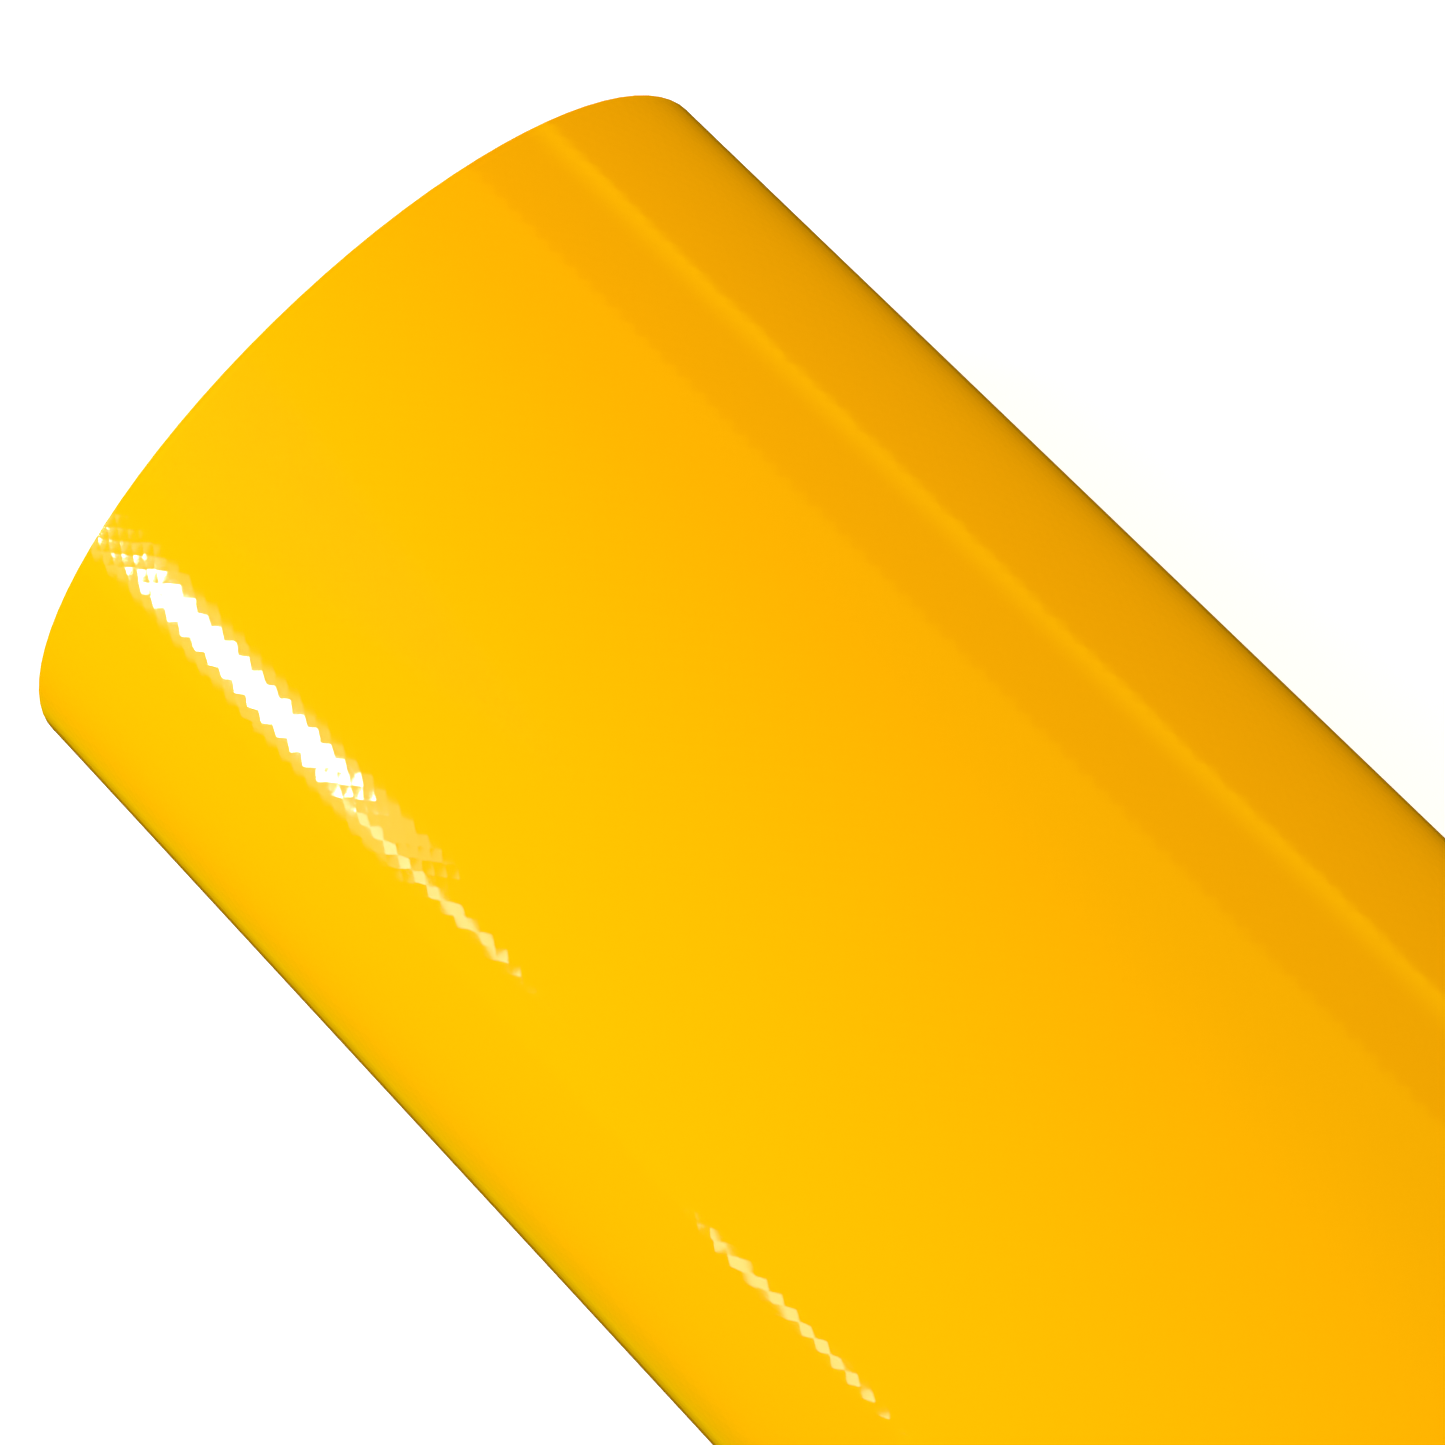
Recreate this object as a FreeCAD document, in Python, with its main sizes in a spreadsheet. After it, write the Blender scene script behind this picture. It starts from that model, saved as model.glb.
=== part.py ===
import FreeCAD, Part
import math
import os

import Sketcher
from FreeCAD import Vector

# A roll of self-adhesive sign vinyl lying on its side, in millimetres.
# The origin is the middle of the core's bore. X runs along the core, Y to the back, Z up.
# Angles round the roll start at the front, -Y, and rise over the top to the back, +Y,
# which is also the way the web is wound as it leaves the core.

SIZES = {
    "bore_radius": 38.1,  # inside of a 3 inch paper core
    "ply_thickness": 0.45,  # one strip of core board
    "ply_count": 8,
    "core_overhang": 1.0,  # how far the core stands out of the web at each end
    "web_width": 610.0,  # 24 inch web
    "start_tape_thickness": 0.08,
    "start_tape_width": 36.0,  # along the web
    "start_tape_inset": 2.0,  # from each edge of the web
    "liner_thickness": 0.13,  # silicone-coated release paper
    "film_thickness": 0.10,  # cast film with its coat of adhesive
    "turn_count": 32,  # about 9.1 m of web
    "tail_root_angle": 165.0,  # where the last turn stops lying on the roll, in degrees
    "tail_film_length": 24.0,  # film between the two hinge lines, along the web
    "flap_length": 23.0,  # film beyond the second hinge line, along the web
    "tail_gap": 0.2,  # between the tail and the turn under it
    "hinge_gap": 0.2,  # along the web, at each hinge line
    "flap_gap": 0.05,  # between the flap and the liner under it
    "tab_count": 3,
    "tab_width": 50.0,  # along the roll
    "tab_length": 20.0,  # round the roll
    "tab_on_film": 9.0,  # how much of that length is stuck to the film
    "tab_thickness": 0.06,
    "tab_inset": 60.0,  # from the web's edge to the outer tabs' outer ends
}

CORNERS = 4  # the spiral is made of quarter circles, struck from the corners of a small square
QUARTER = math.pi / 2
SHORT_ARC = math.radians(3)  # the longest arc that a loose strip is drawn in

doc = FreeCAD.newDocument("sign_vinyl_roll")
sheet = doc.addObject("Spreadsheet::Sheet", "Sizes")
for row, (alias, value) in enumerate(SIZES.items(), start=1):
    sheet.set(f"A{row}", alias)
    sheet.set(f"B{row}", str(value))
    sheet.setAlias(f"B{row}", alias)
doc.recompute()


def size(alias):
    """The value of a cell of the sheet."""
    return float(sheet.get(alias))


# What follows from the driving sizes.
pitch = size("liner_thickness") + size("film_thickness")
core_radius = size("bore_radius") + size("ply_count") * size("ply_thickness")
wound_from = core_radius + size("start_tape_thickness") + pitch / CORNERS
wound_to = wound_from + size("turn_count") * pitch
tail_inside = wound_to + size("tail_gap")
tail_middle = tail_inside + size("liner_thickness")
flap_inside = tail_middle + size("flap_gap")
tail_outside = flap_inside + size("film_thickness")
root_angle = math.radians(size("tail_root_angle"))


def outward(angle):
    """The unit vector that points away from the roll's axis at an angle round it."""
    return Vector(0, -math.cos(angle), math.sin(angle))


def spiral_centres():
    """The centres of the quarter circles, in the order in which the web meets them."""
    centres = [Vector(0, 0, 0)]
    for corner in range(1, CORNERS):
        step = outward(root_angle + corner * QUARTER) * (pitch / CORNERS)
        centres.append(centres[-1] - step)
    middle = sum(centres, Vector(0, 0, 0)) * (1 / CORNERS)
    return [centre - middle for centre in centres]


CENTRES = spiral_centres()


def arc(centre, radius, start, stop):
    """An arc round the roll from one angle to another."""
    angles = (start, (start + stop) / 2, stop)
    return Part.Arc(*[centre + outward(angle) * radius for angle in angles]).toShape()


def spiral(depth):
    """The quarter circles that one face of the web follows, at a depth from its inner face."""
    return [
        arc(
            CENTRES[quarter % CORNERS],
            wound_from + pitch * quarter / CORNERS + depth,
            root_angle + quarter * QUARTER,
            root_angle + (quarter + 1) * QUARTER,
        )
        for quarter in range(CORNERS * int(size("turn_count")))
    ]


def circle_part(centre, radius, start, sweep):
    """The short arcs of one face of a loose strip."""
    count = math.ceil(sweep / SHORT_ARC)
    stops = [start + sweep * number / count for number in range(count + 1)]
    return [arc(centre, radius, *pair) for pair in zip(stops, stops[1:])]


def layer(label, inner, outer, width):
    """A thin sheet between two rows of arcs, of some width and centred along the roll."""
    first_edge = Part.LineSegment(outer[0].Vertexes[0].Point, inner[0].Vertexes[0].Point)
    last_edge = Part.LineSegment(inner[-1].Vertexes[-1].Point, outer[-1].Vertexes[-1].Point)
    outline = Part.Wire(inner + [last_edge.toShape()] + outer[::-1] + [first_edge.toShape()])
    piece = doc.addObject("Part::Feature", label)
    piece.Shape = Part.Face(outline).extrude(Vector(width, 0, 0))
    piece.Placement = FreeCAD.Placement(Vector(-width / 2, 0, 0), FreeCAD.Rotation())
    piece.Label = label
    return piece


def loose_strip(label, inside, outside, start, arc_length, width, centre):
    """A strip that lies round the roll on one circle; its length is that of its outer face."""
    sweep = arc_length / outside
    faces = [circle_part(centre, radius, start, sweep) for radius in (inside, outside)]
    return layer(label, *faces, width)


def core_ply(number):
    """One tube of board of the paper core, counted from the bore outwards."""
    label = f"core_ply_{number}"
    body = doc.addObject("PartDesign::Body", label)
    plane = next(f for f in body.Origin.OriginFeatures if f.Role == "YZ_Plane")
    sketch = body.newObject("Sketcher::SketchObject", f"{label}_section")
    sketch.AttachmentSupport = [(plane, "")]
    sketch.MapMode = "FlatFace"
    for index, plies_inside in enumerate((number - 1, number)):
        radius = size("bore_radius") + plies_inside * size("ply_thickness")
        sketch.addGeometry(Part.Circle(Vector(0, 0, 0), Vector(0, 0, 1), radius))
        sketch.addConstraint(Sketcher.Constraint("Coincident", index, 3, -1, 1))
        sketch.addConstraint(Sketcher.Constraint("Radius", index, radius))
        sketch.setExpression(
            f"Constraints[{2 * index + 1}]",
            f"Sizes.bore_radius + {plies_inside} * Sizes.ply_thickness",
        )
    pad = body.newObject("PartDesign::Pad", f"{label}_length")
    pad.Profile = sketch
    pad.Midplane = True
    pad.setExpression("Length", "Sizes.web_width + 2 * Sizes.core_overhang")
    body.Label = label
    return body


def start_tape():
    """Double-sided tape that holds the web's leading edge to the core."""
    return loose_strip(
        "start_tape",
        core_radius,
        core_radius + size("start_tape_thickness"),
        root_angle - size("start_tape_width") / 2 / core_radius,
        size("start_tape_width"),
        size("web_width") - 2 * size("start_tape_inset"),
        Vector(0, 0, 0),
    )


def tail_piece(label, inside, outside, start, arc_length):
    """A full-width strip of the loose end, on the circle that the last turn would follow."""
    width = size("web_width")
    return loose_strip(label, inside, outside, start, arc_length, width, CENTRES[0])


def tab(number, edge_angle):
    """A short tape on the film's free edge: a sector of a ring, cut out of two cylinders."""
    label = f"hold_down_tab_{number + 1}"
    inner = doc.addObject("Part::Cylinder", f"{label}_inside")
    outer = doc.addObject("Part::Cylinder", f"{label}_outside")
    radius = (
        "Sizes.bore_radius + Sizes.ply_count * Sizes.ply_thickness"
        " + Sizes.start_tape_thickness"
        " + (Sizes.turn_count + 5 / 4) * (Sizes.liner_thickness + Sizes.film_thickness)"
        " + Sizes.tail_gap + Sizes.flap_gap"
    )
    inner.setExpression("Radius", radius)
    outer.setExpression("Radius", f"{radius} + Sizes.tab_thickness")
    outer.setExpression("Angle", f"Sizes.tab_length / ({radius}) * 180 / pi")
    for cylinder in (inner, outer):
        cylinder.setExpression("Height", "Sizes.tab_width")
    cut = doc.addObject("Part::Cut", label)
    cut.Base = outer
    cut.Tool = inner
    start = edge_angle - size("tab_on_film") / tail_outside
    turned = FreeCAD.Rotation(
        outward(start), outward(start + QUARTER), Vector(-1, 0, 0), "ZXY"
    )
    row_end = size("web_width") / 2 - size("tab_inset")
    spacing = (2 * row_end - size("tab_width")) / (size("tab_count") - 1)
    right_end = Vector(size("tab_width") - row_end + number * spacing, 0, 0)
    cut.Placement = FreeCAD.Placement(right_end + CENTRES[0], turned)
    cut.Label = label
    return cut


# The core, the tape on it and the wound web.
pieces = [core_ply(number + 1) for number in range(int(size("ply_count")))]
pieces.append(start_tape())
liner_faces = (spiral(0), spiral(size("liner_thickness")))
film_faces = (spiral(size("liner_thickness")), spiral(pitch))
pieces.append(layer("release_liner", *liner_faces, size("web_width")))
pieces.append(layer("face_film", *film_faces, size("web_width")))

# The loose end: liner and film turn on the root line, and the film's flap on its own line.
gap_angle = size("hinge_gap") / tail_outside
tail_start = root_angle + gap_angle
flap_start = tail_start + size("tail_film_length") / tail_outside + gap_angle
free_edge = flap_start + size("flap_length") / tail_outside
liner_length = (free_edge - tail_start) * tail_middle
pieces.append(tail_piece("tail_liner", tail_inside, tail_middle, tail_start, liner_length))
pieces.append(
    tail_piece(
        "tail_film",
        tail_middle,
        tail_middle + size("film_thickness"),
        tail_start,
        size("tail_film_length"),
    )
)
pieces.append(
    tail_piece("film_flap", flap_inside, tail_outside, flap_start, size("flap_length"))
)
pieces += [tab(number, free_edge) for number in range(int(size("tab_count")))]

doc.recompute()
for item in doc.Objects:
    if {"Invalid", "Error"} & set(item.State):
        raise RuntimeError(f"{item.Label} did not compute: {item.State}")
for piece in pieces:
    if piece.Shape.isNull() or not piece.Shape.isValid():
        raise RuntimeError(f"{piece.Label} has no sound shape")

os.makedirs("parts", exist_ok=True)
for piece in pieces:
    piece.Shape.exportStep(f"parts/{piece.Label}.step")
    box = piece.Shape.BoundBox
    print(
        f"{piece.Label}: {piece.Shape.Volume:.1f} mm3, {len(piece.Shape.Solids)} solid, "
        f"x {box.XMin:.2f} {box.XMax:.2f}, y {box.YMin:.2f} {box.YMax:.2f}, "
        f"z {box.ZMin:.2f} {box.ZMax:.2f}"
    )
print(f"tail root at y, z: {(CENTRES[0] + outward(root_angle) * tail_outside)[1:]}")
print(f"flap line at y, z: {(CENTRES[0] + outward(flap_start) * tail_outside)[1:]}")
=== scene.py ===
"""A roll of self-adhesive sign vinyl on its paper core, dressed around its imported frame.

Metres, +X along the core, +Z up. Angles round the roll start at the front, -Y, and rise over
the top to the back, +Y, which is also the way the web is wound.
"""

import logging
import math
from collections.abc import Callable, Iterator
from contextlib import contextmanager
from dataclasses import dataclass
from enum import Enum

import bmesh
import bpy
import numpy as np
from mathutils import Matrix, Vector


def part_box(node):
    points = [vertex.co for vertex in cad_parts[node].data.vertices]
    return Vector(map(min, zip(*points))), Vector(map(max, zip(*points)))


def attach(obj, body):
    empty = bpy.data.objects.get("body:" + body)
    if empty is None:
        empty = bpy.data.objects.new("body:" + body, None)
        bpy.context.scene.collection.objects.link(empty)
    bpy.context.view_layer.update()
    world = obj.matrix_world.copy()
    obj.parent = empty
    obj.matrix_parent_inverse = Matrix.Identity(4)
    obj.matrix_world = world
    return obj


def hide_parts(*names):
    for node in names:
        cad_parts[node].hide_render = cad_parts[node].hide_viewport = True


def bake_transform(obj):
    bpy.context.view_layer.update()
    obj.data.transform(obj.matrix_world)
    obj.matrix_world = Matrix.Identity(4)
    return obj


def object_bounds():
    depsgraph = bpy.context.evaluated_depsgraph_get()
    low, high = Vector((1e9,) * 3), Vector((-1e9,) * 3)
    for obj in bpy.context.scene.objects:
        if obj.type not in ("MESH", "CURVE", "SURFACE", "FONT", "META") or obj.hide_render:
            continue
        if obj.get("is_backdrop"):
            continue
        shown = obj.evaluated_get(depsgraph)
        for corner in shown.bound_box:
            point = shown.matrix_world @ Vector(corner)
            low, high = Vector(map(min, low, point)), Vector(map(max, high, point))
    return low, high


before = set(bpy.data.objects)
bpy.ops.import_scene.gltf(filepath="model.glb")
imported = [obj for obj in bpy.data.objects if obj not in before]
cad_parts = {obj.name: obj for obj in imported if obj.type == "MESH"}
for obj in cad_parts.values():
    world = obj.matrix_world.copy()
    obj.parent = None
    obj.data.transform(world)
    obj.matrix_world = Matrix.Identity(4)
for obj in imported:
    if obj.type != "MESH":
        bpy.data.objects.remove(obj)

logging.basicConfig(level=logging.INFO, format="%(message)s")
log = logging.getLogger("sign_vinyl_roll")

MM = 0.001
QUARTER = math.pi / 2
TAU = 2 * math.pi
WELD = 0.002 * MM  # vertices nearer to each other than this become one
LEVEL = 0.001 * MM  # two places nearer than this count as the same place along the roll
CORNERS = 4  # of the small square that the spiral's quarter circles are struck from


class Body(Enum):
    """The bodies that a piece can ride on."""

    ROLL = "roll"
    TAIL = "tail"
    FLAP = "flap"


class Slot(Enum):
    """The record's material slots."""

    FILM = "yellow_film"
    PAPER = "release_paper"
    BOARD = "core_board"
    TAPE = "clear_tape"


def outward(angle: float) -> Vector:
    """The unit vector that points away from the roll's axis at an angle round it."""
    return Vector((0, -math.cos(angle), math.sin(angle)))


# ---------------------------------------------------------------- tools


class Workbench:
    """Blender's own tools, each given the selection that it needs."""

    @staticmethod
    def take(piece: bpy.types.Object) -> None:
        """Makes one object the only selected one, and the active one.

        Args:
            piece: The object.
        """
        bpy.ops.object.select_all(action="DESELECT")
        piece.select_set(True)
        bpy.context.view_layer.objects.active = piece

    @staticmethod
    @contextmanager
    def editing(piece: bpy.types.Object, mode: str = "VERT") -> Iterator[None]:
        """Keeps a piece in edit mode for the length of a with block.

        Args:
            piece: The mesh object to edit.
            mode: What is selected by hand: VERT, EDGE or FACE.
        """
        Workbench.take(piece)
        bpy.ops.object.mode_set(mode="EDIT")
        bpy.ops.mesh.select_mode(type=mode)
        yield
        bpy.ops.object.mode_set(mode="OBJECT")

    @staticmethod
    def pick(piece: bpy.types.Object, wanted: Callable[[Vector], bool]) -> None:
        """Selects the vertices of a piece in edit mode by their place.

        Args:
            piece: The object that is being edited.
            wanted: Says whether a vertex at a place is selected.
        """
        bpy.ops.mesh.select_all(action="DESELECT")
        cage = bmesh.from_edit_mesh(piece.data)
        for vertex in cage.verts:
            vertex.select = wanted(vertex.co)
        cage.select_flush_mode()
        bmesh.update_edit_mesh(piece.data)

    @staticmethod
    def settle(piece: bpy.types.Object) -> None:
        """Moves a piece's place, turn and scale into its mesh."""
        Workbench.take(piece)
        bpy.ops.object.transform_apply(location=True, rotation=True, scale=True)

    @staticmethod
    def modify(piece: bpy.types.Object, kind: str, **settings: object) -> None:
        """Adds a modifier with its settings and applies it.

        Args:
            piece: The object to change.
            kind: Blender's name for the kind of modifier.
            **settings: The modifier's properties.
        """
        Workbench.take(piece)
        modifier = piece.modifiers.new(kind.title(), kind)
        for key, value in settings.items():
            setattr(modifier, key, value)
        bpy.ops.object.modifier_apply(modifier=modifier.name)

    @staticmethod
    def close_up(piece: bpy.types.Object, fill: bool = False) -> None:
        """Merges doubled vertices, then turns every face outwards.

        Args:
            piece: The mesh object to close.
            fill: Whether its open ends are given faces in between.
        """
        with Workbench.editing(piece):
            bpy.ops.mesh.select_all(action="SELECT")
            bpy.ops.mesh.remove_doubles(threshold=WELD)
            if fill:
                bpy.ops.mesh.select_all(action="SELECT")
                bpy.ops.mesh.fill_holes(sides=0)
                bpy.ops.mesh.select_all(action="SELECT")
            bpy.ops.mesh.normals_make_consistent(inside=False)

    @staticmethod
    def smooth(piece: bpy.types.Object, angle: float = 35) -> None:
        """Shades a piece smooth, except across edges sharper than an angle in degrees."""
        Workbench.take(piece)
        bpy.ops.object.shade_smooth_by_angle(angle=math.radians(angle))

    @staticmethod
    def cut_columns(piece: bpy.types.Object, places: list[float]) -> None:
        """Cuts a piece across, to give it columns of vertices.

        Args:
            piece: The mesh object to cut.
            places: Where it is cut, along the roll.
        """
        with Workbench.editing(piece):
            for place in places:
                bpy.ops.mesh.select_all(action="SELECT")
                bpy.ops.mesh.bisect(plane_co=(place, 0, 0), plane_no=(1, 0, 0))

    @staticmethod
    def points(piece: bpy.types.Object) -> np.ndarray:
        """Reads where the vertices of a piece are.

        Args:
            piece: The mesh object.

        Returns:
            Rows of x, y and z.
        """
        flat = np.empty(len(piece.data.vertices) * 3)
        piece.data.vertices.foreach_get("co", flat)
        return flat.reshape(-1, 3)

    @staticmethod
    def place(piece: bpy.types.Object, points: np.ndarray) -> None:
        """Puts the vertices of a piece at rows of x, y and z."""
        piece.data.vertices.foreach_set("co", points.ravel())
        piece.data.update()


# ---------------------------------------------------------------- finishes


def linear(code: str) -> tuple[float, float, float, float]:
    """Turns an sRGB hex colour into the linear colour that a shader takes.

    Args:
        code: Six hex digits after a #.

    Returns:
        Red, green, blue and an alpha of 1.
    """
    channels = [int(code[start : start + 2], 16) / 255 for start in (1, 3, 5)]
    curve = [c / 12.92 if c <= 0.04045 else ((c + 0.055) / 1.055) ** 2.4 for c in channels]
    return (*curve, 1.0)


def add(
    material: bpy.types.Material | bpy.types.World,
    kind: str,
    sockets: dict[str | int, object] | None = None,
    **settings: object,
) -> bpy.types.Node:
    """Adds a node to a material, or to the world.

    Args:
        material: What the node is for.
        kind: Blender's name for the kind of node, without its ShaderNode.
        sockets: Each input's value, or the output that feeds it.
        **settings: The node's own properties.

    Returns:
        The new node.
    """
    node = material.node_tree.nodes.new(f"ShaderNode{kind}")
    for key, value in settings.items():
        setattr(node, key, value)
    for key, value in (sockets or {}).items():
        if isinstance(value, bpy.types.NodeSocket):
            material.node_tree.links.new(value, node.inputs[key])
        else:
            node.inputs[key].default_value = value
    return node


def blank(name: str) -> bpy.types.Material:
    """Starts a material that has no nodes yet.

    Args:
        name: The material's name.

    Returns:
        The material.
    """
    material = bpy.data.materials.new(name)
    material.use_nodes = True
    material.node_tree.nodes.clear()
    return material


def shade(
    material: bpy.types.Material, sockets: dict[str, object]
) -> bpy.types.Material:
    """Closes a material with its shader.

    Args:
        material: The material.
        sockets: What the shader's inputs hold, or what feeds them.

    Returns:
        The same material.
    """
    shader = add(material, "BsdfPrincipled", sockets)
    add(material, "OutputMaterial", {"Surface": shader.outputs["BSDF"]})
    return material


def mixed(
    material: bpy.types.Material | bpy.types.World,
    share: bpy.types.NodeSocket,
    first: object,
    second: object,
) -> bpy.types.NodeSocket:
    """Mixes two colours, which a Mix node takes at inputs 6 and 7 and gives at output 2.

    Args:
        material: What the mix is for.
        share: How much of the second colour it holds, from 0 to 1.
        first: The first colour, or the output that feeds it.
        second: The second colour, or the output that feeds it.

    Returns:
        The mixed colour.
    """
    node = add(material, "Mix", {0: share, 6: first, 7: second}, data_type="RGBA")
    return node.outputs[2]


def noise(
    material: bpy.types.Material,
    place: bpy.types.NodeSocket,
    size: float,
    detail: float,
    roughness: float = 0.5,
    dimensions: str = "3D",
) -> bpy.types.Node:
    """Adds a cloudy noise.

    Args:
        material: The material.
        place: Where on the piece the noise is taken.
        size: From one cloud to the next.
        detail: How many finer layers of clouds there are.
        roughness: How strong those layers are.
        dimensions: 2D on the flat web, 3D in the roll's own space.

    Returns:
        The noise's node.
    """
    return add(
        material,
        "TexNoise",
        {"Vector": place, "Scale": 1 / size, "Detail": detail, "Roughness": roughness},
        noise_dimensions=dimensions,
    )


def bumps(
    material: bpy.types.Material,
    height: bpy.types.NodeSocket,
    rise: float,
    under: bpy.types.NodeSocket | None = None,
    strength: float = 1.0,
) -> bpy.types.NodeSocket:
    """Adds bumps that turn the light and leave the mesh as it is.

    Args:
        material: The material.
        height: The bumps' height.
        rise: How far a height of 1 stands out, in metres.
        under: The normal that these bumps are laid on, if it isn't the mesh's own.
        strength: How much of the bumps is kept.

    Returns:
        The bumped normal.
    """
    sockets = {"Height": height, "Strength": strength, "Distance": rise}
    if under is not None:
        sockets["Normal"] = under
    return add(material, "Bump", sockets).outputs["Normal"]


def pressed_lattice(
    material: bpy.types.Material,
    web: bpy.types.NodeSocket,
    cell: float,
    unevenness: float = 0.25,
) -> bpy.types.NodeSocket:
    """Adds the lattice that an embossed liner presses into film, set askew at 45 degrees.

    Args:
        material: The film's material.
        web: The place on the flat web, in metres.
        cell: From one dome of the lattice to the next, along the roll.
        unevenness: How far the domes are off their places, from 0 to 1.

    Returns:
        The distance from the nearest dome.
    """
    askew = add(
        material,
        "Mapping",
        {
            "Vector": web,
            "Rotation": (0, 0, math.radians(45)),
            "Scale": (math.sqrt(2) / cell,) * 3,
        },
    )
    cells = add(
        material,
        "TexVoronoi",
        {"Vector": askew.outputs[0], "Scale": 1.0, "Randomness": unevenness},
        voronoi_dimensions="2D",
    )
    return cells.outputs["Distance"]


@dataclass(frozen=True)
class Finish:
    """What every finish has: a name, a colour and a gloss."""

    name: str
    colour: str
    roughness: float

    def material(self) -> bpy.types.Material:
        """Builds the finish, or finds the one that was built before."""
        return bpy.data.materials.get(self.name) or self.build()

    def build(self) -> bpy.types.Material:
        """Builds the finish's nodes."""
        raise NotImplementedError


@dataclass(frozen=True)
class GlossFilm(Finish):
    """Cast PVC film, its colour through and through, with the liner's lattice pressed into it.

    The film is glossy and clean, so it mirrors its lights. The embossed liner under it leaves
    shallow domes a couple of millimetres apart, which tear the edges of those mirror images
    into teeth, and slow waves from the winding make the images wander.
    """

    cell: float = 1.9 * MM  # from one dome of the lattice to the next, along the roll
    dome: float = 0.0115 * MM  # how strongly the domes bend the mirror images
    wave: float = 34 * MM  # from one slow wave to the next
    wave_height: float = 0.05 * MM
    patch: float = 60 * MM  # from one handled patch to the next
    handling: float = 0.15  # how far handling changes the roughness, as a share of it
    refraction: float = 1.53

    def build(self) -> bpy.types.Material:
        """Builds the film's nodes on the web's own length and width, in metres.

        Returns:
            The material.
        """
        skin = blank(self.name)
        web = add(skin, "TexCoord").outputs["UV"]
        cells = pressed_lattice(skin, web, self.cell)
        domes = add(skin, "Math", {0: cells, 1: cells}, operation="MULTIPLY").outputs[0]
        waves = noise(skin, web, self.wave, 1.0, dimensions="2D").outputs["Fac"]
        wander = bumps(skin, waves, self.wave_height)
        handled = noise(skin, web, self.patch, 3.0, dimensions="2D").outputs["Fac"]
        gloss = add(
            skin,
            "MapRange",
            {
                "Value": handled,
                "To Min": self.roughness * (1 - self.handling),
                "To Max": self.roughness * (1 + self.handling),
            },
        )
        return shade(
            skin,
            {
                "Base Color": linear(self.colour),
                "Roughness": gloss.outputs[0],
                "IOR": self.refraction,
                "Normal": bumps(skin, domes, self.dome, under=wander),
            },
        )


@dataclass(frozen=True)
class AdhesiveFace(Finish):
    """The back of the film: clear pressure-sensitive adhesive over the coloured film.

    It took the liner's lattice too, and it is softer and a little greyer than the front.
    """

    cell: float = 1.9 * MM  # from one dome of the lattice to the next, along the roll
    dome: float = 0.05 * MM
    refraction: float = 1.47

    def build(self) -> bpy.types.Material:
        """Builds the adhesive's nodes on the web's own length and width, in metres.

        Returns:
            The material.
        """
        skin = blank(self.name)
        web = add(skin, "TexCoord").outputs["UV"]
        cells = pressed_lattice(skin, web, self.cell)
        return shade(
            skin,
            {
                "Base Color": linear(self.colour),
                "Roughness": self.roughness,
                "IOR": self.refraction,
                "Normal": bumps(skin, cells, self.dome),
            },
        )


@dataclass(frozen=True)
class ReleasePaper(Finish):
    """Bleached kraft paper with a silicone coat: white, with a satin sheen and fine fibres."""

    shadow: str = "#E4E2DA"
    cloud: float = 14 * MM
    fibre: float = 0.9 * MM  # across a fibre
    slimness: float = 0.3  # a fibre's width over its length, which is along the web
    tooth: float = 0.012 * MM

    def build(self) -> bpy.types.Material:
        """Builds the paper's nodes on the web's own length and width, in metres.

        Returns:
            The material.
        """
        paper = blank(self.name)
        web = add(paper, "TexCoord").outputs["UV"]
        squeezed = add(paper, "Mapping", {"Vector": web, "Scale": (1.0, self.slimness, 1.0)})
        fibres = noise(paper, squeezed.outputs[0], self.fibre, 4.0, dimensions="2D")
        clouds = noise(paper, web, self.cloud, 3.0, dimensions="2D").outputs["Fac"]
        return shade(
            paper,
            {
                "Base Color": mixed(paper, clouds, linear(self.shadow), linear(self.colour)),
                "Roughness": self.roughness,
                "Normal": bumps(paper, fibres.outputs["Fac"], self.tooth),
            },
        )


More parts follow.
